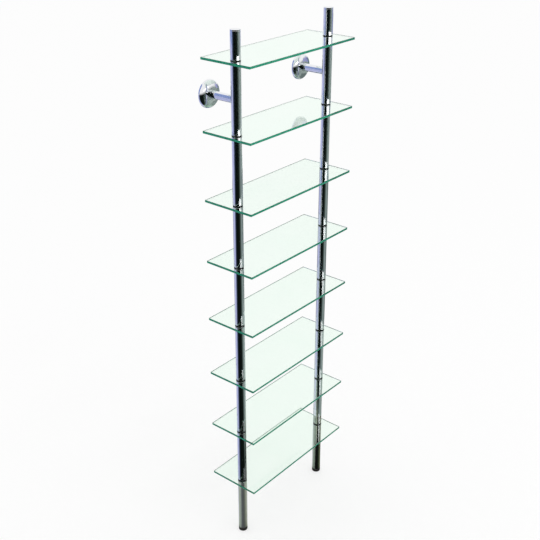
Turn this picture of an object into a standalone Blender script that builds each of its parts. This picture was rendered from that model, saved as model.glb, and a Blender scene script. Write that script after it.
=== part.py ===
"""Wall media shelf: glass shelves clamped between lengths of chrome tube on two poles.

Each tube length ends in a threaded stud that passes through a rubber grommet in the glass and screws
into the length below. The poles stand on rubber feet, and a bracket under a sliding domed rosette ties
each one to the wall. Units are metres, +Z is up, the wall is at +Y, and the origin is on the floor at
the middle of the overall width and depth.
"""

import math

import bmesh
import bpy

# Glass shelves
SHELF_WIDTH = 0.400
SHELF_DEPTH = 0.150
GLASS_THICKNESS = 0.006
SHELF_CORNER_RADIUS = 0.004
GLASS_ARRIS = 0.0008
GLASS_HOLE_DIAMETER = 0.0146
FRONT_OVERHANG = 0.065  # pole axis to the front edge of the glass

# Shelf heights
LOWER_GAPS = 5
UPPER_GAPS = 2
LOWER_PITCH = 0.165
UPPER_PITCH = 0.175
LEG_HEIGHT = 0.174  # floor to the underside of the lowest shelf
TOP_RISE = 0.070  # top of the highest shelf to the top of the pole

# Poles
POLE_INSET = 0.026  # end of the glass to the pole axis
POLE_DIAMETER = 0.025
TUBE_WALL = 0.0015
PLUG_LENGTH = 0.016
STUD_DIAMETER = 0.008
STUD_ENGAGEMENT = 0.012  # thread inside the tube below
GROMMET_FLANGE = 0.0012

# Pole ends
CAP_HEAD = 0.003
CAP_EDGE_RADIUS = 0.001
CAP_PLUG = 0.010
FOOT_HEIGHT = 0.011
FOOT_EDGE_RADIUS = 0.0025
FOOT_PLUG = 0.014

# Wall brackets
WALL_GAP = 0.003  # back edge of the glass to the wall
ARM_DIAMETER = 0.019
ARM_WALL = 0.0015
ARM_PLUG_LENGTH = 0.014
ARM_STUD_DIAMETER = 0.006
ARM_STUD_ENGAGEMENT = 0.010
INSERT_DIAMETER = 0.009
INSERT_LENGTH = 0.007
PLATE_MARGIN = 0.005  # rim of the wall plate to the inside of the rosette
PLATE_THICKNESS = 0.004
SPIGOT_LENGTH = 0.012
PLATE_SCREW_HOLE = 0.0045
PLATE_SCREW_HEAD = 0.0085
GRUB_DIAMETER = 0.004
GRUB_LENGTH = 0.005
GRUB_SOCKET = 0.002
ROSETTE_DIAMETER = 0.068
ROSETTE_HEIGHT = 0.015
ROSETTE_LIP = 0.002
ROSETTE_NECK = 0.003
ROSETTE_WALL = 0.0015

# Fits and facets
FIT_GAP = 0.0003
POLE_SIDES = 16
ROSETTE_SIDES = 24
SMALL_SIDES = 12
SMOOTH_ANGLE = math.radians(40)

# Values worked out from the sizes above
POLE_RADIUS = POLE_DIAMETER / 2
TUBE_BORE = POLE_RADIUS - TUBE_WALL
STUD_RADIUS = STUD_DIAMETER / 2
STUD_BORE = STUD_RADIUS + FIT_GAP
GLASS_HOLE_RADIUS = GLASS_HOLE_DIAMETER / 2
JOINT_SIDE = FIT_GAP + GROMMET_FLANGE + FIT_GAP  # glass face to tube end
JOINT_STACK = GLASS_THICKNESS + 2 * JOINT_SIDE
STUD_LENGTH = JOINT_STACK + STUD_ENGAGEMENT
ARM_RADIUS = ARM_DIAMETER / 2
ARM_BORE = ARM_RADIUS - ARM_WALL
ARM_STUD_RADIUS = ARM_STUD_DIAMETER / 2
ARM_STUD_BORE = ARM_STUD_RADIUS + FIT_GAP
INSERT_RADIUS = INSERT_DIAMETER / 2
GRUB_RADIUS = GRUB_DIAMETER / 2
ROSETTE_RADIUS = ROSETTE_DIAMETER / 2
ROSETTE_BORE = ARM_RADIUS + FIT_GAP
HOLLOW_HEIGHT = ROSETTE_HEIGHT - ROSETTE_NECK
HOLLOW_REACH = ROSETTE_RADIUS - ROSETTE_WALL - ROSETTE_BORE
HOLLOW_AT_PLATE = ROSETTE_BORE + HOLLOW_REACH * math.sqrt(1 - (PLATE_THICKNESS / HOLLOW_HEIGHT) ** 2)
PLATE_RADIUS = HOLLOW_AT_PLATE - PLATE_MARGIN
PLATE_SCREW_OFFSET = (ARM_RADIUS + PLATE_RADIUS) / 2

WALL_DISTANCE = SHELF_DEPTH - FRONT_OVERHANG + WALL_GAP  # pole axis to the wall
PLATE_FRONT = WALL_DISTANCE - PLATE_THICKNESS
POLE_SPACING = SHELF_WIDTH - 2 * POLE_INSET
POLE_Y = (FRONT_OVERHANG - WALL_DISTANCE) / 2

LOWER_LEVELS = [LEG_HEIGHT + step * LOWER_PITCH for step in range(LOWER_GAPS + 1)]
UPPER_LEVELS = [LOWER_LEVELS[-1] + (step + 1) * UPPER_PITCH for step in range(UPPER_GAPS)]
SHELF_LEVELS = sorted(LOWER_LEVELS + UPPER_LEVELS, reverse=True)  # undersides, top shelf first
POLE_TOP = SHELF_LEVELS[0] + GLASS_THICKNESS + TOP_RISE
BRACKET_HEIGHT = (SHELF_LEVELS[0] + SHELF_LEVELS[1] + GLASS_THICKNESS) / 2
SIDES = {"left": -POLE_SPACING / 2, "right": POLE_SPACING / 2}
TOWARDS_WALL = (-math.pi / 2, 0, 0)  # turns a piece's own +Z to +Y
DOWNWARDS = (math.pi, 0, 0)


def clear_scene():
    for old in list(bpy.data.objects):
        bpy.data.objects.remove(old, do_unlink=True)


def finish(name, colour, roughness, metallic=0.0, transmission=0.0):
    material = bpy.data.materials.new(name)
    material.use_nodes = True
    shader = material.node_tree.nodes["Principled BSDF"]
    shader.inputs["Base Color"].default_value = (*colour, 1.0)
    shader.inputs["Roughness"].default_value = roughness
    shader.inputs["Metallic"].default_value = metallic
    shader.inputs["Transmission Weight"].default_value = transmission
    return material


def mesh_from(bm, name, material):
    bmesh.ops.remove_doubles(bm, verts=bm.verts, dist=1e-6)
    bmesh.ops.recalc_face_normals(bm, faces=bm.faces)
    mesh = bpy.data.meshes.new(name)
    bm.to_mesh(mesh)
    bm.free()
    if material:
        mesh.materials.append(material)
    mesh.shade_smooth()
    mesh.set_sharp_from_angle(angle=SMOOTH_ANGLE)
    return mesh


def turned(name, profile, sides, material=None):
    """A profile of (radius, height) points spun round Z; it is closed unless it starts on the axis."""
    bm = bmesh.new()
    points = [bm.verts.new((radius, 0, height)) for radius, height in profile]
    loop = points if profile[0][0] == 0 else points + points[:1]
    lines = [bm.edges.new(pair) for pair in zip(loop, loop[1:])]
    bmesh.ops.spin(
        bm,
        geom=points + lines,
        axis=(0, 0, 1),
        cent=(0, 0, 0),
        angle=2 * math.pi,
        steps=sides,
        use_merge=True,
    )
    return mesh_from(bm, name, material)


def arc(centre, radii, start, end, steps):
    """Points on a quarter of an ellipse in the profile plane, both ends included; angles in degrees."""
    turns = [math.radians(start + (end - start) * step / steps) for step in range(steps + 1)]
    return [(centre[0] + radii[0] * math.cos(turn), centre[1] + radii[1] * math.sin(turn)) for turn in turns]


def place(name, mesh, location, rotation=(0, 0, 0)):
    piece = bpy.data.objects.new(name, mesh)
    bpy.context.scene.collection.objects.link(piece)
    piece.location = location
    piece.rotation_euler = rotation
    return piece


def cutter(name, profile, location, rotation=(0, 0, 0), sides=SMALL_SIDES):
    tool = place(name, turned(name, profile, sides), location, rotation)
    tool.hide_render = True
    tool.display_type = "WIRE"
    return tool


def rod(radius, start, end):
    return [(0, end), (radius, end), (radius, start), (0, start)]


def sleeve(outer, inner, start, end):
    return [(inner, end), (outer, end), (outer, start), (inner, start)]


def cut(piece, *tools):
    for tool in tools:
        step = piece.modifiers.new("cut_" + tool.name, "BOOLEAN")
        step.operation = "DIFFERENCE"
        step.solver = "EXACT"
        step.object = tool


def shelf_mesh(material):
    """A glass plate with rounded corners, its underside at the shelf's level."""
    half_width = SHELF_WIDTH / 2 - SHELF_CORNER_RADIUS
    half_depth = SHELF_DEPTH / 2 - SHELF_CORNER_RADIUS
    middle = SHELF_DEPTH / 2 - FRONT_OVERHANG
    quarters = ((1, 1, 0), (-1, 1, 90), (-1, -1, 180), (1, -1, 270))
    radii = (SHELF_CORNER_RADIUS, SHELF_CORNER_RADIUS)
    bm = bmesh.new()
    outline = []
    for along, back, start in quarters:
        centre = (along * half_width, middle + back * half_depth)
        outline += [bm.verts.new((x, y, 0)) for x, y in arc(centre, radii, start, start + 90, 3)]
    face = bm.faces.new(outline)
    raised = bmesh.ops.extrude_face_region(bm, geom=[face])["geom"]
    lifted = [item for item in raised if isinstance(item, bmesh.types.BMVert)]
    bmesh.ops.translate(bm, verts=lifted, vec=(0, 0, GLASS_THICKNESS))
    return mesh_from(bm, "glass_shelf", material)


def make_shelves(glass):
    mesh = shelf_mesh(glass)
    drills = [
        cutter(f"{side}_glass_drill", rod(GLASS_HOLE_RADIUS, 0, POLE_TOP), (x, POLE_Y, 0), sides=POLE_SIDES)
        for side, x in SIDES.items()
    ]
    for number, level in enumerate(SHELF_LEVELS, start=1):
        shelf = place(f"glass_shelf_{number}", mesh, (0, POLE_Y, level))
        edge = shelf.modifiers.new("arris", "BEVEL")
        edge.width = GLASS_ARRIS
        edge.segments = 1
        edge.limit_method = "ANGLE"
        edge.angle_limit = math.radians(60)
        cut(shelf, *drills)


def studded_tube(length, material):
    """A tube with a stud below and a threaded plug above, its lower end at height 0."""
    profile = [
        (0, PLUG_LENGTH),
        (TUBE_BORE, PLUG_LENGTH),
        (TUBE_BORE, length - PLUG_LENGTH),
        (STUD_BORE, length - PLUG_LENGTH),
        (STUD_BORE, length),
        (POLE_RADIUS, length),
        (POLE_RADIUS, 0),
        (STUD_RADIUS, 0),
        (STUD_RADIUS, -STUD_LENGTH),
        (0, -STUD_LENGTH),
    ]
    return turned("pole_tube", profile, POLE_SIDES, material)


def top_tube(length, material):
    """The pole's last length: a stud below and an open end for the cap above."""
    profile = [
        (0, PLUG_LENGTH),
        (TUBE_BORE, PLUG_LENGTH),
        (TUBE_BORE, length),
        (POLE_RADIUS, length),
        (POLE_RADIUS, 0),
        (STUD_RADIUS, 0),
        (STUD_RADIUS, -STUD_LENGTH),
        (0, -STUD_LENGTH),
    ]
    return turned("pole_top_tube", profile, POLE_SIDES, material)


def leg_tube(length, material):
    """The pole's first length: an open end for the foot below and a threaded plug above."""
    profile = [
        (STUD_BORE, length),
        (POLE_RADIUS, length),
        (POLE_RADIUS, 0),
        (TUBE_BORE, 0),
        (TUBE_BORE, length - PLUG_LENGTH),
        (STUD_BORE, length - PLUG_LENGTH),
    ]
    return turned("pole_leg_tube", profile, POLE_SIDES, material)


def grommet_mesh(material):
    """A rubber grommet: a sleeve in the glass between two flanges as wide as the pole."""
    waist = GLASS_HOLE_RADIUS - FIT_GAP
    face = GLASS_THICKNESS + FIT_GAP
    rim = face + GROMMET_FLANGE
    lower_face = -FIT_GAP
    lower_rim = lower_face - GROMMET_FLANGE
    profile = [
        (STUD_BORE, rim),
        (POLE_RADIUS, rim),
        (POLE_RADIUS, face),
        (waist, face),
        (waist, lower_face),
        (POLE_RADIUS, lower_face),
        (POLE_RADIUS, lower_rim),
        (STUD_BORE, lower_rim),
    ]
    return turned("grommet", profile, POLE_SIDES, material)


def cap_mesh(material):
    """A flat end cap with a softened edge and a plug that fills the tube."""
    edge = CAP_EDGE_RADIUS
    plug = TUBE_BORE - FIT_GAP
    rounded = arc((POLE_RADIUS - edge, CAP_HEAD - edge), (edge, edge), 90, 0, 2)
    profile = [(0, CAP_HEAD), *rounded, (POLE_RADIUS, 0), (plug, 0), (plug, -CAP_PLUG), (0, -CAP_PLUG)]
    return turned("pole_cap", profile, POLE_SIDES, material)


def foot_mesh(material):
    """A rubber foot with a rounded sole, pushed into the tube by its plug."""
    edge = FOOT_EDGE_RADIUS
    plug = TUBE_BORE - FIT_GAP
    top = FOOT_HEIGHT + FOOT_PLUG
    rounded = arc((POLE_RADIUS - edge, edge), (edge, edge), 0, -90, 3)
    profile = [(0, top), (plug, top), (plug, FOOT_HEIGHT), (POLE_RADIUS, FOOT_HEIGHT), *rounded, (0, 0)]
    return turned("pole_foot", profile, POLE_SIDES, material)


def make_poles(chrome, cap_chrome, rubber, foot_rubber):
    """Builds both poles from the floor up and returns the tube of each that carries a bracket."""
    starts = [level + GLASS_THICKNESS + JOINT_SIDE for level in SHELF_LEVELS]
    ends = [level - JOINT_SIDE for level in SHELF_LEVELS]
    upper = studded_tube(ends[0] - starts[1], chrome)
    lower = studded_tube(ends[-2] - starts[-1], chrome)
    cap_seat = POLE_TOP - CAP_HEAD
    top = top_tube(cap_seat - FIT_GAP - starts[0], chrome)
    leg_start = FOOT_HEIGHT + FIT_GAP
    leg = leg_tube(ends[-1] - leg_start, chrome)
    grommet = grommet_mesh(rubber)
    cap = cap_mesh(cap_chrome)
    foot = foot_mesh(foot_rubber)
    bracket_tubes = {}
    for side, x in SIDES.items():
        place(f"{side}_cap", cap, (x, POLE_Y, cap_seat))
        place(f"{side}_top_tube", top, (x, POLE_Y, starts[0]))
        for number, start in enumerate(starts[1:], start=1):
            mesh = upper if number <= UPPER_GAPS else lower
            tube = place(f"{side}_tube_{number}", mesh, (x, POLE_Y, start))
            bracket_tubes.setdefault(side, tube)
        place(f"{side}_leg_tube", leg, (x, POLE_Y, leg_start))
        for number, level in enumerate(SHELF_LEVELS, start=1):
            place(f"{side}_grommet_{number}", grommet, (x, POLE_Y, level))
        place(f"{side}_foot", foot, (x, POLE_Y, 0))
    return bracket_tubes


def insert_end():
    """How far the threaded insert may reach without standing proud of the round pole."""
    return math.sqrt(POLE_RADIUS**2 - INSERT_RADIUS**2) - FIT_GAP


def arm_mesh(material):
    """A tube to the wall plate with a threaded plug at the pole, measured from the pole axis."""
    end = PLATE_FRONT - FIT_GAP
    plug_end = POLE_RADIUS + ARM_PLUG_LENGTH
    profile = [
        (ARM_RADIUS, end),
        (ARM_RADIUS, 0),
        (ARM_STUD_BORE, 0),
        (ARM_STUD_BORE, plug_end),
        (ARM_BORE, plug_end),
        (ARM_BORE, end),
    ]
    return turned("wall_arm", profile, POLE_SIDES, material)


def plate_mesh(material):
    """A round wall plate with a spigot for the arm, measured from the pole axis."""
    spigot = ARM_BORE - FIT_GAP
    spigot_end = PLATE_FRONT - SPIGOT_LENGTH
    profile = [
        (0, WALL_DISTANCE),
        (PLATE_RADIUS, WALL_DISTANCE),
        (PLATE_RADIUS, PLATE_FRONT),
        (spigot, PLATE_FRONT),
        (spigot, spigot_end),
        (0, spigot_end),
    ]
    return turned("wall_plate", profile, ROSETTE_SIDES, material)


def rosette_mesh(material):
    """A domed cover over the wall plate, open at the wall, its rim at height 0 and its neck above."""
    shoulder = ROSETTE_BORE + ROSETTE_WALL
    dome_radii = (ROSETTE_RADIUS - shoulder, ROSETTE_HEIGHT - ROSETTE_LIP)
    dome = arc((shoulder, ROSETTE_LIP), dome_radii, 90, 0, 6)
    hollow = arc((ROSETTE_BORE, 0), (HOLLOW_REACH, HOLLOW_HEIGHT), 0, 90, 5)
    profile = [(ROSETTE_BORE, ROSETTE_HEIGHT), *dome, (ROSETTE_RADIUS, 0), *hollow]
    return turned("rosette", profile, ROSETTE_SIDES, material)


def grub_mesh(material):
    """A grub screw with a socket in its outer end, pointing up its own axis."""
    half_socket = GRUB_SOCKET / 2
    floor = GRUB_LENGTH - GRUB_SOCKET
    profile = [
        (0, floor),
        (half_socket, floor),
        (half_socket, GRUB_LENGTH),
        (GRUB_RADIUS, GRUB_LENGTH),
        (GRUB_RADIUS, 0),
        (0, 0),
    ]
    return turned("grub_screw", profile, SMALL_SIDES, material)


def screw_holes(side, x):
    """Cutters for the countersunk wall-screw holes, left and right of the spigot."""
    hole = PLATE_SCREW_HOLE / 2
    head = PLATE_SCREW_HEAD / 2
    over = PLATE_THICKNESS
    profile = [
        (0, WALL_DISTANCE + over),
        (hole, WALL_DISTANCE + over),
        (hole, PLATE_FRONT + head - hole),
        (head, PLATE_FRONT),
        (head, PLATE_FRONT - over),
        (0, PLATE_FRONT - over),
    ]
    return [
        cutter(f"{side}_screw_hole_{number}", profile, (x + shift, POLE_Y, BRACKET_HEIGHT), TOWARDS_WALL)
        for number, shift in enumerate((-PLATE_SCREW_OFFSET, PLATE_SCREW_OFFSET), start=1)
    ]


def make_bracket(side, x, tube, finishes):
    """One wall bracket: insert, stud, arm, wall plate, grub screw and the rosette that slides over them."""
    axis = (x, POLE_Y, BRACKET_HEIGHT)
    grub_y = POLE_Y + PLATE_FRONT - SPIGOT_LENGTH / 2
    grub_seat = ARM_RADIUS - FIT_GAP - GRUB_LENGTH
    insert_tip = insert_end()
    insert_start = insert_tip - INSERT_LENGTH
    stud_start = insert_start
    stud_end = POLE_RADIUS + ARM_STUD_ENGAGEMENT

    port = cutter(f"{side}_insert_port", rod(INSERT_RADIUS + FIT_GAP, 0, POLE_DIAMETER), axis, TOWARDS_WALL)
    cope = cutter(
        f"{side}_cope",
        rod(POLE_RADIUS + FIT_GAP, -POLE_DIAMETER, POLE_DIAMETER),
        axis,
        sides=3 * POLE_SIDES,
    )
    grub_port = cutter(
        f"{side}_grub_port",
        rod(GRUB_RADIUS + FIT_GAP, grub_seat - FIT_GAP, ARM_DIAMETER),
        (x, grub_y, BRACKET_HEIGHT),
        DOWNWARDS,
    )

    cut(tube, port)
    insert = sleeve(INSERT_RADIUS, ARM_STUD_BORE, insert_start, insert_tip)
    place(
        f"{side}_arm_insert",
        turned("arm_insert", insert, SMALL_SIDES, finishes["brass"]),
        axis,
        TOWARDS_WALL,
    )
    stud = rod(ARM_STUD_RADIUS, stud_start, stud_end)
    place(f"{side}_arm_stud", turned("arm_stud", stud, SMALL_SIDES, finishes["steel"]), axis, TOWARDS_WALL)
    arm = place(f"{side}_wall_arm", arm_mesh(finishes["arm"]), axis, TOWARDS_WALL)
    cut(arm, cope, grub_port)
    plate = place(f"{side}_wall_plate", plate_mesh(finishes["plate"]), axis, TOWARDS_WALL)
    cut(plate, grub_port, *screw_holes(side, x))
    grub_place = (x, grub_y, BRACKET_HEIGHT - grub_seat)
    place(f"{side}_grub_screw", grub_mesh(finishes["steel"]), grub_place, DOWNWARDS)

    slide = bpy.data.objects.new(f"{side}_rosette_slide", None)
    bpy.context.scene.collection.objects.link(slide)
    slide.location = (x, POLE_Y + WALL_DISTANCE - FIT_GAP, BRACKET_HEIGHT)
    slide.rotation_euler = (math.pi / 2, 0, 0)
    rosette = place(f"{side}_rosette", rosette_mesh(finishes["rosette"]), (0, 0, 0))
    rosette.parent = slide


def main():
    clear_scene()
    glass = finish("shelf_glass", (0.62, 0.83, 0.76), 0.03, transmission=0.9)
    tube_chrome = finish("tube_chrome", (0.80, 0.82, 0.84), 0.06, metallic=1.0)
    cap_chrome = finish("cap_chrome", (0.82, 0.83, 0.85), 0.10, metallic=1.0)
    grommet_rubber = finish("grommet_rubber", (0.02, 0.02, 0.02), 0.60)
    foot_rubber = finish("foot_rubber", (0.03, 0.025, 0.025), 0.70)
    bracket_finishes = {
        "arm": finish("arm_chrome", (0.80, 0.82, 0.86), 0.06, metallic=1.0),
        "rosette": finish("rosette_chrome", (0.82, 0.83, 0.86), 0.05, metallic=1.0),
        "plate": finish("plate_steel", (0.55, 0.56, 0.58), 0.35, metallic=1.0),
        "steel": finish("screw_steel", (0.45, 0.46, 0.48), 0.30, metallic=1.0),
        "brass": finish("insert_brass", (0.75, 0.58, 0.28), 0.30, metallic=1.0),
    }
    make_shelves(glass)
    tubes = make_poles(tube_chrome, cap_chrome, grommet_rubber, foot_rubber)
    for side, x in SIDES.items():
        make_bracket(side, x, tubes[side], bracket_finishes)


main()
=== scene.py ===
import math

import bmesh
import bpy
from mathutils import Matrix, Vector


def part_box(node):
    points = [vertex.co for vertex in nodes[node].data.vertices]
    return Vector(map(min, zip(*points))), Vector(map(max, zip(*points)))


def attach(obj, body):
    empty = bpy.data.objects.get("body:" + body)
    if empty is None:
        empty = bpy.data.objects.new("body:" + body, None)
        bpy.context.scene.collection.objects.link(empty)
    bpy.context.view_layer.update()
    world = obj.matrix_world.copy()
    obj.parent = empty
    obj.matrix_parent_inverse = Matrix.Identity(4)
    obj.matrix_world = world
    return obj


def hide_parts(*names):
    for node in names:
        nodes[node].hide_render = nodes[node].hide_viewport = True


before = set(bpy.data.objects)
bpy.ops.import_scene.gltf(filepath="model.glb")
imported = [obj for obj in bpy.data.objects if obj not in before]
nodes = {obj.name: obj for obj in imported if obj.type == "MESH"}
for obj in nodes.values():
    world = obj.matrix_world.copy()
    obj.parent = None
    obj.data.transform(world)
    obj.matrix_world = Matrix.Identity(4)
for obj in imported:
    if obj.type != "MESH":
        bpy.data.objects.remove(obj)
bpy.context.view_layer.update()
sides = ("left", "right")
shelfCount = 8
towardsBack = (-math.pi / 2, 0, 0)  # own +Z to +Y
towardsFront = (math.pi / 2, 0, 0)  # own +Z to -Y
downwards = (math.pi, 0, 0)  # own +Z to -Z
fitGap = 0.0003  # between pieces that touch
print("frame loaded with", len(nodes), "nodes")


# modelling helpers
def clearSelection():
    if bpy.context.mode != "OBJECT":
        bpy.ops.object.mode_set(mode="OBJECT")
    bpy.ops.object.select_all(action="DESELECT")


def pick(piece):
    clearSelection()
    piece.select_set(True)
    bpy.context.view_layer.objects.active = piece


def drawProfile(name, profile):
    clearSelection()
    bpy.ops.mesh.primitive_plane_add(size=0.01, location=(0, 0, 0))
    piece = bpy.context.object
    piece.name = name
    piece.data.name = name
    bpy.ops.object.mode_set(mode="EDIT")
    bpy.ops.mesh.select_all(action="SELECT")
    bpy.ops.mesh.merge(type="CENTER")  # one point to draw from
    here = Vector((0, 0, 0))
    for step, (radius, height) in enumerate(profile):
        there = Vector((radius, 0, height))
        if step == 0:
            bpy.ops.transform.translate(value=there)
        else:
            bpy.ops.mesh.extrude_region_move(TRANSFORM_OT_translate={"value": there - here})
        here = there
    return piece


def turnPiece(name, profile, steps):
    closed = profile if profile[0][0] == 0 else profile + profile[:1]
    piece = drawProfile(name, closed)
    bpy.ops.mesh.select_all(action="SELECT")
    bpy.ops.mesh.spin(steps=steps, angle=2 * math.pi, center=(0, 0, 0), axis=(0, 0, 1))
    bpy.ops.mesh.select_all(action="SELECT")
    bpy.ops.mesh.remove_doubles(threshold=2e-6)  # closes the seam and the poles
    bpy.ops.mesh.normals_make_consistent(inside=False)
    bpy.ops.object.mode_set(mode="OBJECT")
    return piece


def curvePoints(centre, radii, start, end, count):
    turns = [math.radians(start + (end - start) * step / count) for step in range(count + 1)]
    return [(centre[0] + radii[0] * math.cos(t), centre[1] + radii[1] * math.sin(t)) for t in turns]


def middleAt(low, high, level):
    return Vector(((low.x + high.x) / 2, (low.y + high.y) / 2, level))


def applyStep(piece, kind, **settings):
    pick(piece)
    step = piece.modifiers.new(kind.lower(), kind)
    for key, value in settings.items():
        setattr(step, key, value)
    bpy.ops.object.modifier_apply(modifier=step.name)


def softenEdges(piece, width, segments=3, angle=40):
    applyStep(
        piece, "BEVEL", width=width, segments=segments, limit_method="ANGLE",
        angle_limit=math.radians(angle), use_clamp_overlap=True,
    )


def smoothShade(piece, angle=50):
    pick(piece)
    bpy.ops.object.shade_smooth_by_angle(angle=math.radians(angle))
    applyStep(piece, "WEIGHTED_NORMAL", keep_sharp=True, weight=80)


def settle(piece, place, turn=(0, 0, 0)):
    pick(piece)
    piece.location = place
    piece.rotation_euler = turn
    bpy.ops.object.transform_apply(location=True, rotation=True, scale=True)
    return piece


def copyPiece(source, name, shift):
    piece = source.copy()
    piece.data = source.data.copy()
    piece.name = name
    piece.data.name = name
    bpy.context.scene.collection.objects.link(piece)
    piece.data.transform(Matrix.Translation(shift))
    return piece


def cutAway(piece, tool):
    applyStep(piece, "BOOLEAN", object=tool, operation="DIFFERENCE", solver="EXACT")
    bpy.data.objects.remove(tool, do_unlink=True)


def addRod(radius, start, end, place, turn=(0, 0, 0), count=64):
    tool = turnPiece("cutRod", [(0, end), (radius, end), (radius, start), (0, start)], count)
    return settle(tool, place, turn)


def dress(piece, node, body, slotName, *finishes):
    piece.data.materials.clear()
    for finish in finishes:
        piece.data.materials.append(finish)
    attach(piece, body)
    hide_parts(node)


# materials
noiseSpan = (0.3, 0.7)  # where most of a noise lies
bumpReach = 0.0002


def newFinish(name):
    finish = bpy.data.materials.new(name)
    finish.use_nodes = True
    tree = finish.node_tree
    shader = tree.nodes["Principled BSDF"]
    where = tree.nodes.new("ShaderNodeTexCoord")
    return finish, tree, shader, where


def addNoise(tree, where, scale, stretch=(1, 1, 1), detail=3.0):
    spread = tree.nodes.new("ShaderNodeMapping")
    spread.inputs["Scale"].default_value = stretch
    noise = tree.nodes.new("ShaderNodeTexNoise")
    noise.inputs["Scale"].default_value = scale
    noise.inputs["Detail"].default_value = detail
    tree.links.new(where.outputs["Object"], spread.inputs["Vector"])
    tree.links.new(spread.outputs["Vector"], noise.inputs["Vector"])
    return noise.outputs["Fac"]


def addRange(tree, source, low, high):
    change = tree.nodes.new("ShaderNodeMapRange")
    change.inputs["From Min"].default_value = noiseSpan[0]
    change.inputs["From Max"].default_value = noiseSpan[1]
    change.inputs["To Min"].default_value = low
    change.inputs["To Max"].default_value = high
    tree.links.new(source, change.inputs["Value"])
    return change.outputs["Result"]


def addBlend(tree, source, first, second):
    ramp = tree.nodes.new("ShaderNodeValToRGB")
    for stop, position, colour in zip(ramp.color_ramp.elements, noiseSpan, (first, second)):
        stop.position = position
        stop.color = (*colour, 1)
    tree.links.new(source, ramp.inputs["Fac"])
    return ramp.outputs["Color"]


def addWear(tree, shader, source, first, second, roughness):
    tree.links.new(addBlend(tree, source, first, second), shader.inputs["Base Color"])
    tree.links.new(addRange(tree, source, *roughness), shader.inputs["Roughness"])


def addBump(tree, shader, source, strength):
    bump = tree.nodes.new("ShaderNodeBump")
    bump.inputs["Strength"].default_value = strength
    bump.inputs["Distance"].default_value = bumpReach
    tree.links.new(source, bump.inputs["Height"])
    tree.links.new(bump.outputs["Normal"], shader.inputs["Normal"])


def makeMetal(name, look):
    finish, tree, shader, where = newFinish(name)
    shader.inputs["Metallic"].default_value = 1.0
    haze = addNoise(tree, where, look["hazeScale"])
    rub = addNoise(tree, where, look["rubScale"], look["rubStretch"], detail=2.0)
    addWear(tree, shader, haze, look["dull"], look["bright"], look["roughness"])
    addBump(tree, shader, rub, look["rubDepth"])
    return finish


def makeRubber(name, look):
    finish, tree, shader, where = newFinish(name)
    shader.inputs["Specular IOR Level"].default_value = look["gloss"]
    grain = addNoise(tree, where, look["grainScale"], detail=5.0)
    dust = addNoise(tree, where, look["dustScale"])
    addWear(tree, shader, dust, look["dark"], look["light"], look["roughness"])
    addBump(tree, shader, grain, look["grainDepth"])
    return finish


def makeGlass(name, look):
    finish, tree, shader, where = newFinish(name)
    shader.inputs["Transmission Weight"].default_value = look["clear"]
    shader.inputs["IOR"].default_value = look["ior"]
    shader.inputs["Specular IOR Level"].default_value = look["gloss"]
    cloud = addNoise(tree, where, look["cloudScale"])
    addWear(tree, shader, cloud, look["tint"], look["pale"], look["roughness"])
    return finish


chromeLook = {
    "dull": (0.80, 0.81, 0.84), "bright": (0.88, 0.89, 0.91), "roughness": (0.02, 0.05),
    "hazeScale": 60, "rubScale": 900, "rubStretch": (1, 1, 0.04), "rubDepth": 0.0006,
}
domeLook = dict(chromeLook, rubStretch=(1, 1, 1), rubScale=700, rubDepth=0.0015)
armLook = dict(chromeLook, rubStretch=(1, 0.04, 1))
plateLook = {
    "dull": (0.46, 0.47, 0.49), "bright": (0.60, 0.61, 0.62), "roughness": (0.28, 0.42),
    "hazeScale": 90, "rubScale": 1400, "rubStretch": (0.05, 1, 1), "rubDepth": 0.15,
}
screwLook = dict(plateLook, dull=(0.38, 0.39, 0.41), bright=(0.52, 0.53, 0.55))
brassLook = dict(plateLook, dull=(0.62, 0.44, 0.18), bright=(0.80, 0.62, 0.30))
rubberLook = {
    "dark": (0.010, 0.010, 0.011), "light": (0.024, 0.024, 0.025), "roughness": (0.30, 0.45),
    "gloss": 0.5, "grainScale": 2500, "grainDepth": 0.12, "dustScale": 180,
}
footLook = dict(rubberLook, roughness=(0.50, 0.68), light=(0.035, 0.032, 0.030), grainDepth=0.25)
faceLook = {
    "tint": (0.880, 0.986, 0.912), "pale": (0.905, 0.992, 0.930), "roughness": (0.0, 0.004),
    "cloudScale": 9, "ior": 1.5, "clear": 1.0, "gloss": 0.5,
}
edgeLook = {
    "tint": (0.006, 0.30, 0.165), "pale": (0.015, 0.38, 0.22), "roughness": (0.20, 0.32),
    "cloudScale": 40, "ior": 1.5, "clear": 0.5, "gloss": 0.25,
}

tubeChrome = makeMetal("tubeChrome", chromeLook)
capChrome = makeMetal("capChrome", domeLook)
domeChrome = makeMetal("domeChrome", domeLook)
armChrome = makeMetal("armChrome", armLook)
plateSteel = makeMetal("plateSteel", plateLook)
screwSteel = makeMetal("screwSteel", screwLook)
insertBrass = makeMetal("insertBrass", brassLook)
ringRubber = makeRubber("ringRubber", rubberLook)
footRubber = makeRubber("footRubber", footLook)
clearGlass = makeGlass("clearGlass", faceLook)
greenEdge = makeGlass("greenEdge", edgeLook)
print("finishes made")


# poles
pole = {
    "radius": 0.0125, "bore": 0.011, "studRadius": 0.004, "studBore": 0.0043, "plugLength": 0.016,
    "port": 0.0048, "steps": 72, "edge": 0.0004,
}


def studdedProfile(length, stud, openTop):
    p = pole
    ledge = length - p["plugLength"]
    inside = [(0, p["plugLength"]), (p["bore"], p["plugLength"])]
    if openTop:
        inside += [(p["bore"], length)]
    else:
        inside += [(p["bore"], ledge), (p["studBore"], ledge), (p["studBore"], length)]
    tail = [(p["studRadius"], 0), (p["studRadius"], -stud), (0, -stud)]
    return inside + [(p["radius"], length), (p["radius"], 0)] + tail


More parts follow.
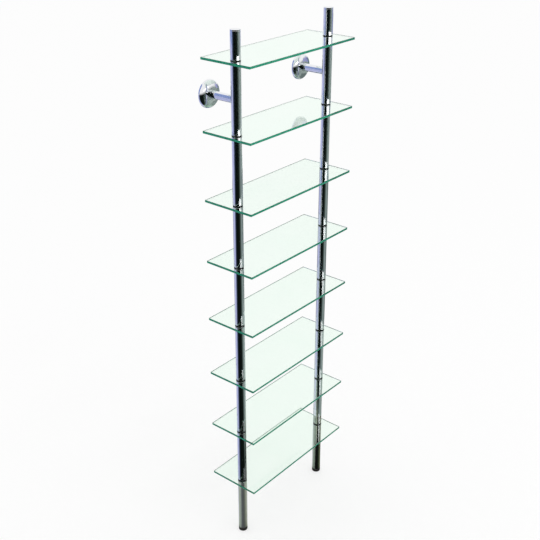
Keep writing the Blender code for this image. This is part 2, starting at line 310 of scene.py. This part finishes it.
def legProfile(length):
    p = pole
    ledge = length - p["plugLength"]
    return [
        (p["studBore"], length), (p["radius"], length), (p["radius"], 0), (p["bore"], 0),
        (p["bore"], ledge), (p["studBore"], ledge),
    ]


def bracketAxis(side):
    low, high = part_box(side + "_wall_arm")
    tubeLow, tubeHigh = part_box(side + "_tube_1")
    return Vector(((low.x + high.x) / 2, (tubeLow.y + tubeHigh.y) / 2, (low.z + high.z) / 2))


def makeTube(side, part, ringBelow=None):
    node = f"{side}_{part}"
    low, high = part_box(node)
    if ringBelow:  # the tube stands on this ring, and its stud goes through it
        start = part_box(f"{side}_grommet_{ringBelow}")[1].z + fitGap
        profile = studdedProfile(high.z - start, start - low.z, part == "top_tube")
    else:
        start = low.z
        profile = legProfile(high.z - start)
    tube = turnPiece(node + "_polished", profile, pole["steps"])
    softenEdges(tube, pole["edge"])
    settle(tube, middleAt(low, high, start))
    if part == "tube_1":  # port for the bracket's insert
        cutAway(tube, addRod(pole["port"], 0, 2 * pole["radius"], bracketAxis(side), towardsBack))
    smoothShade(tube)
    dress(tube, node, "frame", "tube_chrome", tubeChrome)


for side in sides:
    makeTube(side, "top_tube", 1)
    makeTube(side, "leg_tube")
    for number in range(1, shelfCount):
        makeTube(side, f"tube_{number}", number + 1)
print("pole tubes made")


# rubber rings through the glass
ring = {"rim": 0.0125, "waist": 0.007, "bore": 0.0043, "edge": 0.0004, "steps": 64}


def makeRings():
    low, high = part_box("left_grommet_1")
    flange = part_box("glass_shelf_1")[0].z - fitGap - low.z
    height = high.z - low.z
    upper = height - flange
    profile = [
        (ring["bore"], height), (ring["rim"], height), (ring["rim"], upper), (ring["waist"], upper),
        (ring["waist"], flange), (ring["rim"], flange), (ring["rim"], 0), (ring["bore"], 0),
    ]
    master = turnPiece("ringMaster", profile, ring["steps"])
    softenEdges(master, ring["edge"])
    smoothShade(master)
    for side in sides:
        for number in range(1, shelfCount + 1):
            node = f"{side}_grommet_{number}"
            low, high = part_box(node)
            piece = copyPiece(master, node + "_moulded", middleAt(low, high, low.z))
            dress(piece, node, "frame", "grommet_rubber", ringRubber)
    bpy.data.objects.remove(master, do_unlink=True)


makeRings()
print("rubber rings made")


# caps and feet
cap = {
    "radius": 0.0125, "plug": 0.0107, "head": 0.003, "crown": 0.0004, "crownSteps": 8, "edge": 0.0005,
    "steps": 72,
}
foot = {
    "radius": 0.0125, "plug": 0.0107, "bend": 0.0025, "bendSteps": 10, "edge": 0.0004, "steps": 72,
}


def makeCap(side):
    node = side + "_cap"
    low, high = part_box(node)
    top = high.z - low.z
    rim = top - cap["head"]
    dome = curvePoints((0, top - cap["crown"]), (cap["radius"], cap["crown"]), 90, 0, cap["crownSteps"])
    skirt = [(cap["radius"], rim), (cap["plug"], rim), (cap["plug"], 0), (0, 0)]
    piece = turnPiece(node + "_polished", [(0, top)] + dome[1:] + skirt, cap["steps"])
    softenEdges(piece, cap["edge"])
    smoothShade(piece)
    settle(piece, middleAt(low, high, low.z))
    dress(piece, node, "frame", "cap_chrome", capChrome)


def makeFoot(side):
    node = side + "_foot"
    low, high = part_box(node)
    bend = foot["bend"]
    sole = curvePoints((foot["radius"] - bend, bend), (bend, bend), 0, -90, foot["bendSteps"])
    top = high.z - low.z
    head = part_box(side + "_leg_tube")[0].z - fitGap - low.z
    profile = [(0, top), (foot["plug"], top), (foot["plug"], head), (foot["radius"], head)]
    piece = turnPiece(node + "_moulded", profile + sole + [(0, 0)], foot["steps"])
    softenEdges(piece, foot["edge"])
    smoothShade(piece)
    settle(piece, middleAt(low, high, low.z))
    dress(piece, node, "frame", "foot_rubber", footRubber)


for side in sides:
    makeCap(side)
    makeFoot(side)
print("caps and feet made")


# brackets: plugEnd, end and back are measured from the pole's axis
arm = {
    "radius": 0.0095, "bore": 0.008, "studBore": 0.0033, "plugEnd": 0.0265, "end": 0.0837, "steps": 72,
    "edge": 0.0004, "cope": 0.0128, "copeReach": 0.02, "copeSteps": 144,
}
plate = {
    "radius": 0.0262, "thickness": 0.004, "spigot": 0.0077, "spigotLength": 0.012, "back": 0.088,
    "screwHole": 0.00225, "screwHead": 0.00425, "sinkPast": 0.004, "sinkSteps": 40, "steps": 96,
    "edge": 0.0004,
}
grub = {"port": 0.0023, "seat": 0.0039, "steps": 32}
rosette = {
    "radius": 0.034, "height": 0.015, "lip": 0.002, "neck": 0.003, "wall": 0.0015, "bore": 0.0098,
    "domeSteps": 28, "hollowSteps": 20, "steps": 128, "edge": 0.0003,
}
innerFinishes = {"_arm_insert": insertBrass, "_arm_stud": screwSteel, "_grub_screw": screwSteel}


def grubPort(side):
    setback = plate["back"] - plate["thickness"] - plate["spigotLength"] / 2
    place = bracketAxis(side) + Vector((0, setback, 0))
    return addRod(grub["port"], grub["seat"], 2 * arm["radius"], place, downwards, grub["steps"])


def makeArm(side):
    node = side + "_wall_arm"
    a = arm
    profile = [
        (a["radius"], a["end"]), (a["radius"], 0), (a["studBore"], 0), (a["studBore"], a["plugEnd"]),
        (a["bore"], a["plugEnd"]), (a["bore"], a["end"]),
    ]
    piece = turnPiece(node + "_polished", profile, a["steps"])
    softenEdges(piece, a["edge"])
    settle(piece, bracketAxis(side), towardsBack)
    reach = a["copeReach"]
    saddle = addRod(a["cope"], -reach, reach, bracketAxis(side), count=a["copeSteps"])
    cutAway(piece, saddle)  # fits the arm to the pole
    cutAway(piece, grubPort(side))
    smoothShade(piece)
    dress(piece, node, "frame", "arm_chrome", armChrome)


def makePlate(side):
    node = side + "_wall_plate"
    p = plate
    back = p["back"]
    front = back - p["thickness"]
    tip = front - p["spigotLength"]
    profile = [
        (0, back), (p["radius"], back), (p["radius"], front), (p["spigot"], front),
        (p["spigot"], tip), (0, tip),
    ]
    piece = turnPiece(node + "_plain", profile, p["steps"])
    softenEdges(piece, p["edge"])
    settle(piece, bracketAxis(side), towardsBack)
    cutAway(piece, grubPort(side))
    offset = (arm["radius"] + p["radius"]) / 2
    past = p["sinkPast"]
    sink = [
        (0, back + past), (p["screwHole"], back + past),
        (p["screwHole"], front + p["screwHead"] - p["screwHole"]), (p["screwHead"], front),
        (p["screwHead"], front - past), (0, front - past),
    ]
    for shift in (-offset, offset):
        tool = turnPiece("cutSink", sink, p["sinkSteps"])
        settle(tool, bracketAxis(side) + Vector((shift, 0, 0)), towardsBack)
        cutAway(piece, tool)
    smoothShade(piece)
    dress(piece, node, "frame", "plate_steel", plateSteel)


def makeRosette(side):
    node = side + "_rosette"
    r = rosette
    low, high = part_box(node)
    shoulder = r["bore"] + r["wall"]
    dome = (r["radius"] - shoulder, r["height"] - r["lip"])
    hollow = (r["radius"] - r["wall"] - r["bore"], r["height"] - r["neck"])
    outer = curvePoints((shoulder, r["lip"]), dome, 90, 0, r["domeSteps"])
    inner = curvePoints((r["bore"], 0), hollow, 0, 90, r["hollowSteps"])
    profile = [(r["bore"], r["height"])] + outer + [(r["radius"], 0)] + inner
    piece = turnPiece(node + "_polished", profile, r["steps"])
    softenEdges(piece, r["edge"])
    smoothShade(piece)
    settle(piece, ((low.x + high.x) / 2, high.y, (low.z + high.z) / 2), towardsFront)
    dress(piece, node, node, "rosette_chrome", domeChrome)


for side in sides:
    makeArm(side)
    makePlate(side)
    makeRosette(side)
    for ending, finish in innerFinishes.items():
        kept = nodes[side + ending]
        kept.data.materials.clear()
        kept.data.materials.append(finish)
print("wall brackets made")


# glass shelves
shelf = {
    "corner": 0.004, "cornerSteps": 6, "hole": 0.0073, "holeSteps": 64, "drill": 0.02,
    "arris": 0.0007, "arrisSteps": 2, "arrisAngle": 60, "shadeAngle": 30, "faceTilt": 0.2,
}


def makeShelfMaster():
    low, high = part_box("glass_shelf_1")
    size = high - low
    clearSelection()
    bpy.ops.mesh.primitive_cube_add(size=1, location=(low + high) / 2)
    piece = bpy.context.object
    piece.scale = size
    bpy.ops.object.transform_apply(location=True, rotation=True, scale=True)
    bpy.ops.object.mode_set(mode="EDIT")
    bm = bmesh.from_edit_mesh(piece.data)
    for edge in bm.edges:
        edge.select_set(abs(edge.verts[0].co.z - edge.verts[1].co.z) > size.z / 2)
    bmesh.update_edit_mesh(piece.data)
    bpy.ops.mesh.bevel(offset=shelf["corner"], segments=shelf["cornerSteps"], affect="EDGES")
    bpy.ops.object.mode_set(mode="OBJECT")
    for side in sides:
        ringLow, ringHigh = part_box(side + "_grommet_1")
        place = (ringLow + ringHigh) / 2
        drill = addRod(shelf["hole"], -shelf["drill"], shelf["drill"], place, count=shelf["holeSteps"])
        cutAway(piece, drill)
    softenEdges(piece, shelf["arris"], shelf["arrisSteps"], shelf["arrisAngle"])
    smoothShade(piece, shelf["shadeAngle"])
    return piece


def paintEdges(piece):
    for face in piece.data.polygons:
        face.material_index = 0 if abs(face.normal.z) > shelf["faceTilt"] else 1


def makeShelves():
    master = makeShelfMaster()
    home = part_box("glass_shelf_1")[0]
    for number in range(1, shelfCount + 1):
        node = f"glass_shelf_{number}"
        piece = copyPiece(master, node + "_clear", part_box(node)[0] - home)
        dress(piece, node, "frame", "shelf_glass", clearGlass, greenEdge)
        paintEdges(piece)
    bpy.data.objects.remove(master, do_unlink=True)


makeShelves()
print("glass shelves made")


# studio
studio = {
    "floorSize": 80, "floorLevel": -0.0003, "floorColour": (0.99, 0.99, 0.99), "floorGlow": 0.6,
    "skyColour": (1.0, 1.0, 1.0), "skyLight": 0.96, "cardSteps": 48,
    "bounces": 24, "glossyBounces": 20,
}
lamp = {"place": (-0.10, -2.6, 2.00), "aim": (-0.10, 0, 1.0), "size": (2.4, 0.25), "power": 6}


def evenTones(colour):
    return [(180, colour), (352, colour)]


# tones of the cards, painted reflections of a dark room and of a wall in lavender shade: angle in degrees
# from +X about the card's middle, in order from 180 up, and colour
frontTones = [
    (180, (0.003, 0.005, 0.004)), (248, (0.006, 0.010, 0.008)), (268, (0.07, 0.10, 0.085)),
    (297, (0.25, 0.31, 0.30)), (322, (0.31, 0.37, 0.34)), (352, (0.22, 0.29, 0.25)),
]
# upper and back tones: painted reflections of a wall, pale where lit and lavender where in shade
upperTones = [(180, (0.40, 0.41, 0.68)), (325, (0.40, 0.41, 0.68)), (352, (0.22, 0.26, 0.52))]
backTones = [
    (180, (0.02, 0.03, 0.05)), (58, (0.86, 0.86, 0.95)), (100, (0.56, 0.58, 0.83)),
    (142, (0.44, 0.48, 0.76)), (162, (0.02, 0.03, 0.05)),
]
archTones = evenTones((0.28, 0.36, 0.66))
# leg tones: painted reflections on the lower ends of the legs
leftLegTones = [
    (180, (0.19, 0.21, 0.20)), (205, (0.11, 0.115, 0.12)), (245, (0.10, 0.11, 0.10)),
    (270, (0.16, 0.17, 0.14)), (297, (0.30, 0.32, 0.25)), (330, (0.48, 0.50, 0.41)),
    (352, (0.70, 0.72, 0.66)), (100, (0.56, 0.58, 0.52)), (148, (0.34, 0.39, 0.33)),
]
rightLegTones = [
    (180, (0.06, 0.07, 0.06)), (205, (0.006, 0.007, 0.006)), (250, (0.006, 0.007, 0.006)),
    (275, (0.03, 0.042, 0.024)), (311, (0.13, 0.155, 0.08)), (352, (0.20, 0.20, 0.13)),
    (100, (0.52, 0.57, 0.50)), (150, (0.24, 0.29, 0.235)),
]
# dome, under, side and arm tones: painted reflections that make the rosette's lower half and right side
# and the arms' lower sides darker, as painted shade
domeTones = evenTones((0.15, 0.19, 0.18))
underTones = evenTones((0.12, 0.21, 0.27))
sideTones = evenTones((0.14, 0.22, 0.23))
armTones = evenTones((0.10, 0.12, 0.24))

leftSpot, rightSpot = (-0.174, -0.0115), (0.174, -0.0115)  # axes of the poles
midSpot, frontSpot = (0.0, -0.0115), (0.20, -0.0115)
domeSpot = (0.174, 0.06)  # just in front of the right rosette
frontFan = {
    "corner": frontSpot, "level": 0.003, "inner": 0, "reach": 3.2, "height": 1.7, "fade": 0.9,
    "tones": frontTones, "middle": midSpot,
}
# painted reflections: these cards stand in for a dark room and a shaded wall in the chrome and glass
paintedReflectionCards = {  # seen only by reflection
    "nearCard": dict(frontFan, start=180, end=250),
    "frontCard": dict(frontFan, start=250, end=352),
    "echoCard": {
        "corner": frontSpot, "start": 180, "end": 250, "level": 0.9, "inner": 3.15, "reach": 3.19,
        "height": 4.5, "echo": 1, "tones": frontTones, "middle": midSpot,
    },
    "upperCard": {
        "corner": domeSpot, "start": 314, "end": 353, "level": 1.18, "inner": 0.68, "reach": 0.7,
        "height": 1.5, "fade": 1.35, "tones": upperTones, "middle": domeSpot,
    },
    "backCard": {
        "corner": (0.30, -0.0115), "start": 58, "end": 182, "level": 0.002, "inner": 0, "reach": 3.2,
        "height": 1.7, "fade": 0.9, "tones": backTones, "middle": leftSpot,
    },
    "archCard": {
        "corner": (0.0, 0.03), "start": 115, "end": 165, "level": 1.27, "inner": 0.68, "reach": 0.7,
        "height": 2.1, "tones": archTones, "middle": leftSpot,
    },
    "leftLegCard": {
        "corner": leftSpot, "start": 90, "end": 352, "level": 0.005, "inner": 0, "reach": 0.22,
        "height": 0.0051, "tones": leftLegTones, "middle": leftSpot,
    },
    "rightLegCard": {
        "corner": rightSpot, "start": 90, "end": 352, "level": 0.004, "inner": 0, "reach": 0.30,
        "height": 0.0041, "tones": rightLegTones, "middle": rightSpot,
    },
    "domeCard": {
        "corner": domeSpot, "start": -45, "end": 40, "level": 0.006, "inner": 0.95, "reach": 2.7,
        "height": 0.0061, "tones": domeTones, "middle": domeSpot,
    },
    "underCard": {
        "corner": (0.19, 0.06), "start": 10, "end": 88, "level": 0.0062, "inner": 0, "reach": 0.9,
        "height": 0.0063, "tones": underTones, "middle": domeSpot,
    },
    "sideCard": {
        "corner": domeSpot, "start": -12, "end": 20, "level": 1.0, "inner": 0.59, "reach": 0.6,
        "height": 1.3, "tones": sideTones, "middle": domeSpot,
    },
    "armCard": {
        "corner": domeSpot, "start": 40, "end": 91, "level": 0.006, "inner": 0.9, "reach": 2.7,
        "height": 0.0061, "tones": armTones, "middle": domeSpot,
    },
}
backdropRays = ("Is Camera Ray", "Is Glossy Ray", "Is Transmission Ray")


def addMath(tree, operation, first, second, clamp=False):
    step = tree.nodes.new("ShaderNodeMath")
    step.operation = operation
    step.use_clamp = clamp
    for socket, value in zip(step.inputs, (first, second)):
        if isinstance(value, (int, float)):
            socket.default_value = value
        else:
            tree.links.new(value, socket)
    return step.outputs["Value"]


def anyRay(tree, kinds):
    path = tree.nodes.new("ShaderNodeLightPath")
    seen = path.outputs[kinds[0]]
    for kind in kinds[1:]:
        seen = addMath(tree, "MAXIMUM", seen, path.outputs[kind])
    return seen


def mattFinish(name):
    finish = bpy.data.materials.new(name)
    finish.use_nodes = True
    tree = finish.node_tree
    shader = tree.nodes["Principled BSDF"]
    shader.inputs["Roughness"].default_value = 1.0
    shader.inputs["Specular IOR Level"].default_value = 0.0
    return finish, tree, shader


def mixShaders(tree, share, first, second):
    mix = tree.nodes.new("ShaderNodeMixShader")
    for socket, source in zip(mix.inputs, (share, first, second)):
        tree.links.new(source, socket)
    tree.links.new(mix.outputs["Shader"], tree.nodes["Material Output"].inputs["Surface"])


def makeFloor():
    clearSelection()
    bpy.ops.mesh.primitive_plane_add(size=studio["floorSize"], location=(0, 0, studio["floorLevel"]))
    floor = bpy.context.object
    floor.name = "studioFloor"
    finish, tree, shader = mattFinish("paleFloor")
    shader.inputs["Base Color"].default_value = (*studio["floorColour"], 1)
    glow = tree.nodes.new("ShaderNodeEmission")  # pale backdrop for the camera, metal and glass
    share = addMath(tree, "MULTIPLY", anyRay(tree, backdropRays), studio["floorGlow"])
    mixShaders(tree, share, shader.outputs["BSDF"], glow.outputs["Emission"])  # the rest keeps the shadow
    floor.data.materials.append(finish)


def cardFinish(name, card):
    finish, tree, shader = mattFinish(name)
    where = tree.nodes.new("ShaderNodeTexCoord").outputs["Object"]
    centre = tree.nodes.new("ShaderNodeMapping")
    centre.inputs["Location"].default_value = (-card["middle"][0], -card["middle"][1], 0)
    sweep = tree.nodes.new("ShaderNodeTexGradient")
    sweep.gradient_type = "RADIAL"  # half at +X, growing with the angle
    # the ramp paints the reflected tones onto the card
    blend = tree.nodes.new("ShaderNodeValToRGB")
    stops = blend.color_ramp.elements
    while len(stops) < len(card["tones"]):
        stops.new(1.0)
    for stop, (angle, colour) in zip(stops, card["tones"]):
        stop.position = (angle / 360 + 0.5) % 1.0
        stop.color = (*colour, 1)
    tree.links.new(where, centre.inputs["Vector"])
    tree.links.new(centre.outputs["Vector"], sweep.inputs["Vector"])
    tree.links.new(sweep.outputs["Fac"], blend.inputs["Fac"])
    tree.links.new(blend.outputs["Color"], shader.inputs["Base Color"])
    path = tree.nodes.new("ShaderNodeLightPath")
    count = path.outputs["Glossy Depth"]
    if "echo" in card:  # only in the reflection of a reflection
        count = addMath(tree, "SUBTRACT", count, card["echo"])
    # in a reflection, and not in the light on the floor
    shown = addMath(tree, "SUBTRACT", count, path.outputs["Diffuse Depth"], clamp=True)
    if "fade" in card:  # clearer towards the top
        apart = tree.nodes.new("ShaderNodeSeparateXYZ")
        fade = tree.nodes.new("ShaderNodeMapRange")
        fade.inputs["From Min"].default_value = card["fade"]
        fade.inputs["From Max"].default_value = card["height"]
        fade.inputs["To Min"].default_value = 1.0
        fade.inputs["To Max"].default_value = 0.0
        tree.links.new(where, apart.inputs["Vector"])
        tree.links.new(apart.outputs["Z"], fade.inputs["Value"])
        shown = addMath(tree, "MULTIPLY", shown, fade.outputs["Result"])
    clear = tree.nodes.new("ShaderNodeBsdfTransparent")
    mixShaders(tree, shown, clear.outputs["BSDF"], shader.outputs["BSDF"])
    return finish


def makeCard(name, card):
    reach, level = card["reach"], card["level"]
    sheet = drawProfile(name, [(card["inner"], level), (reach, level), (reach, card["height"])])
    bpy.ops.mesh.select_all(action="SELECT")
    swing = math.radians(card["start"] - card["end"])
    bpy.ops.mesh.spin(steps=studio["cardSteps"], angle=swing, center=(0, 0, 0), axis=(0, 0, 1))
    bpy.ops.object.mode_set(mode="OBJECT")
    settle(sheet, (*card["corner"], 0), (0, 0, math.radians(card["start"])))
    # the card's finish is a painted reflection
    sheet.data.materials.append(cardFinish(name + "PaintedReflection", card))
    sheet.visible_camera = False
    sheet.visible_diffuse = False
    sheet.visible_shadow = False


def makeWorld():
    world = bpy.data.worlds.new("softStudio")
    bpy.context.scene.world = world
    world.use_nodes = True
    tree = world.node_tree
    sky = tree.nodes["Background"]
    sky.inputs["Color"].default_value = (*studio["skyColour"], 1)
    level = tree.nodes.new("ShaderNodeMapRange")  # white as a backdrop, a little less as a light
    level.inputs["To Min"].default_value = studio["skyLight"]
    level.inputs["To Max"].default_value = 1.0
    tree.links.new(anyRay(tree, backdropRays), level.inputs["Value"])
    tree.links.new(level.outputs["Result"], sky.inputs["Strength"])


def makeLamp():
    light = bpy.data.lights.new("softLamp", "AREA")
    light.shape = "RECTANGLE"
    light.size, light.size_y = lamp["size"]
    light.energy = lamp["power"]
    holder = bpy.data.objects.new("softLamp", light)
    bpy.context.scene.collection.objects.link(holder)
    holder.location = lamp["place"]
    reach = Vector(lamp["aim"]) - Vector(lamp["place"])
    holder.rotation_euler = reach.to_track_quat("-Z", "Y").to_euler()
    holder.visible_camera = False


makeFloor()
makeWorld()
makeLamp()
for name, card in paintedReflectionCards.items():
    makeCard(name, card)
scene = bpy.context.scene
scene.view_settings.view_transform = "Standard"
scene.cycles.max_bounces = studio["bounces"]  # light runs far inside the edges of the glass
scene.cycles.glossy_bounces = studio["glossyBounces"]
scene.cycles.transmission_bounces = studio["bounces"]
print("studio made")


# camera
view = {
    "place": (-1.715, -1.3905, 1.840), "azimuth": 50.32, "elevation": 26.03, "lens": 61.41, "sensor": 36,
    "near": 0.05, "far": 200,
}
camera = bpy.data.objects.new("photoCamera", bpy.data.cameras.new("photoCamera"))
scene.collection.objects.link(camera)
camera.location = view["place"]
camera.rotation_euler = (math.radians(90 - view["elevation"]), 0, -math.radians(view["azimuth"]))
camera.data.lens = view["lens"]
camera.data.sensor_width = view["sensor"]
camera.data.clip_start = view["near"]
camera.data.clip_end = view["far"]
scene.camera = camera
print("camera set")
